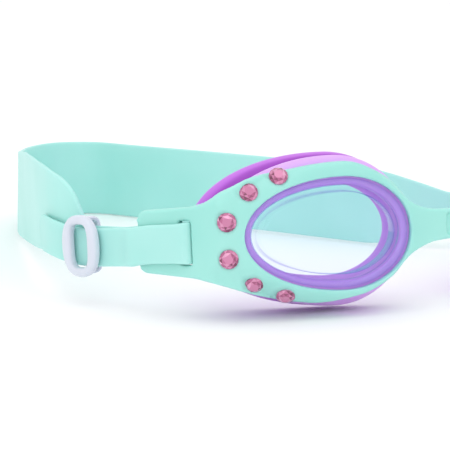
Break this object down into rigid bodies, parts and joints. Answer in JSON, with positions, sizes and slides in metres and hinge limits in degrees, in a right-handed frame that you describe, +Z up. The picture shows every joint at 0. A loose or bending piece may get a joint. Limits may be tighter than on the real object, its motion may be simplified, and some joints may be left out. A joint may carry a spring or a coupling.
{
  "type": "swim goggles",
  "caption": "Children's swim goggles: cup lenses in soft gaskets, a slotted one-piece frame with set stones, and a head strap doubled back through slide buckles",
  "frame": {"origin": "middle of the footprint, on the surface the goggles lie on", "axes": "+X to the wearer's left, +Y to the back of the head, +Z up"},
  "size_m": [0.1598, 0.1748, 0.0394],
  "materials": {
    "frame_plastic": "glossy",
    "lens_plastic": "clear tinted polycarbonate",
    "gasket_silicone": "smooth soft silicone",
    "strap_silicone": "smooth soft silicone",
    "buckle_plastic": "glossy",
    "gem_acrylic": "polished cut stone"
  },
  "bodies": {
    "goggles": {"frame": "frame_plastic", "head_strap": "strap_silicone", "lens_right": "lens_plastic", "gasket_right": "gasket_silicone", "gem_right_1": "gem_acrylic", "gem_right_2": "gem_acrylic", "gem_right_3": "gem_acrylic", "gem_right_4": "gem_acrylic", "gem_right_5": "gem_acrylic", "gem_right_6": "gem_acrylic", "lens_left": "lens_plastic", "gasket_left": "gasket_silicone", "gem_left_1": "gem_acrylic", "gem_left_2": "gem_acrylic", "gem_left_3": "gem_acrylic", "gem_left_4": "gem_acrylic", "gem_left_5": "gem_acrylic", "gem_left_6": "gem_acrylic"},
    "slide_right": {"buckle_right": "buckle_plastic"},
    "slide_left": {"buckle_left": "buckle_plastic"}
  },
  "joints": [
    {"name": "right_slide", "type": "slide", "parent": "goggles", "child": "slide_right", "axis": [0.2588, -0.9614, 0.0934], "range_m": [0, 0.004]},
    {"name": "left_slide", "type": "slide", "parent": "goggles", "child": "slide_left", "axis": [0.682, -0.7279, 0.0707], "range_m": [0, 0.004]}
  ]
}
